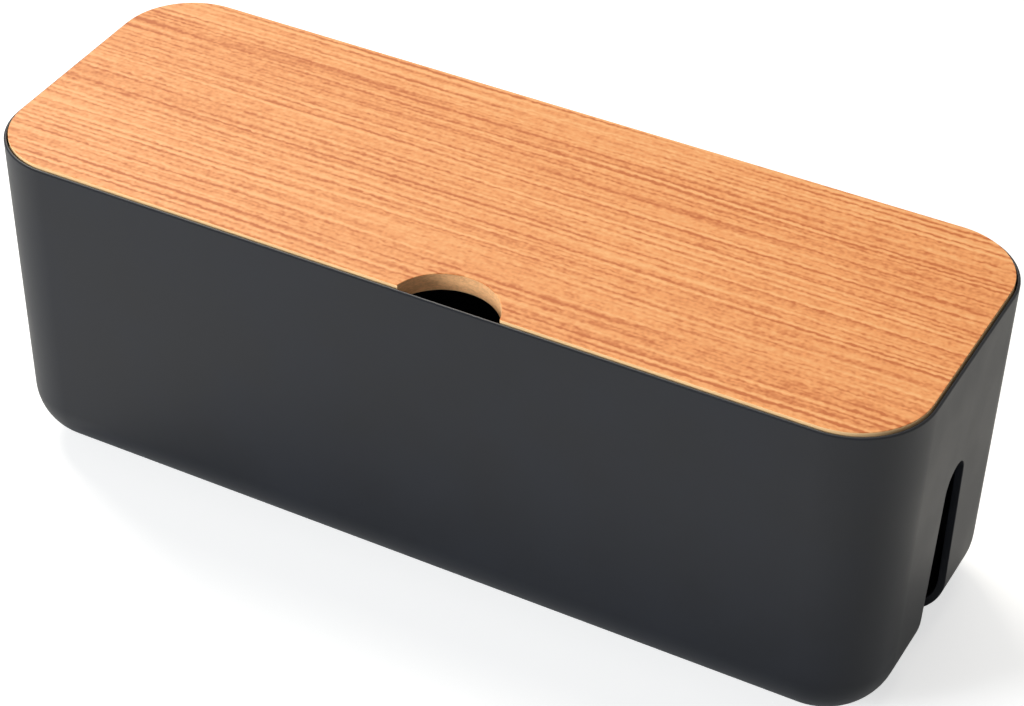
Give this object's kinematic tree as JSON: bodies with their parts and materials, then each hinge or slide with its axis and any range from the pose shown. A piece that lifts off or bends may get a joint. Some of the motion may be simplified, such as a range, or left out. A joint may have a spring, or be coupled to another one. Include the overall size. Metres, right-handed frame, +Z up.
{
  "type": "cable management box",
  "caption": "Long moulded box with rolled foot edge and rounded corners, an arched cord slot in each end, and a drop-in wood-faced lid with a finger notch.",
  "frame": {"origin": "on the ground under the middle of the box, at the feet's treads", "axes": "+X along the box's length, the finger notch on the -Y side, +Z up"},
  "size_m": [0.4, 0.1436, 0.1514],
  "materials": {
    "shell_plastic": "fine satin spark-eroded texture",
    "wood_veneer": "satin lacquered straight grain",
    "backing_veneer": "plain matt",
    "edge_band": "pale satin",
    "board_core": "matt fibreboard",
    "foot_rubber": "matt"
  },
  "bodies": {
    "box": {"body_shell": "shell_plastic", "foot_front_left": "foot_rubber", "foot_front_right": "foot_rubber", "foot_rear_left": "foot_rubber", "foot_rear_right": "foot_rubber"},
    "lid": {"lid_core": "board_core", "lid_face_veneer": "wood_veneer", "lid_back_veneer": "backing_veneer", "lid_edge_band": "edge_band"}
  },
  "joints": [
    {"name": "lid_lift", "type": "slide", "parent": "box", "child": "lid", "axis": [0, 0, 1], "range_m": [0, 0.16]}
  ]
}
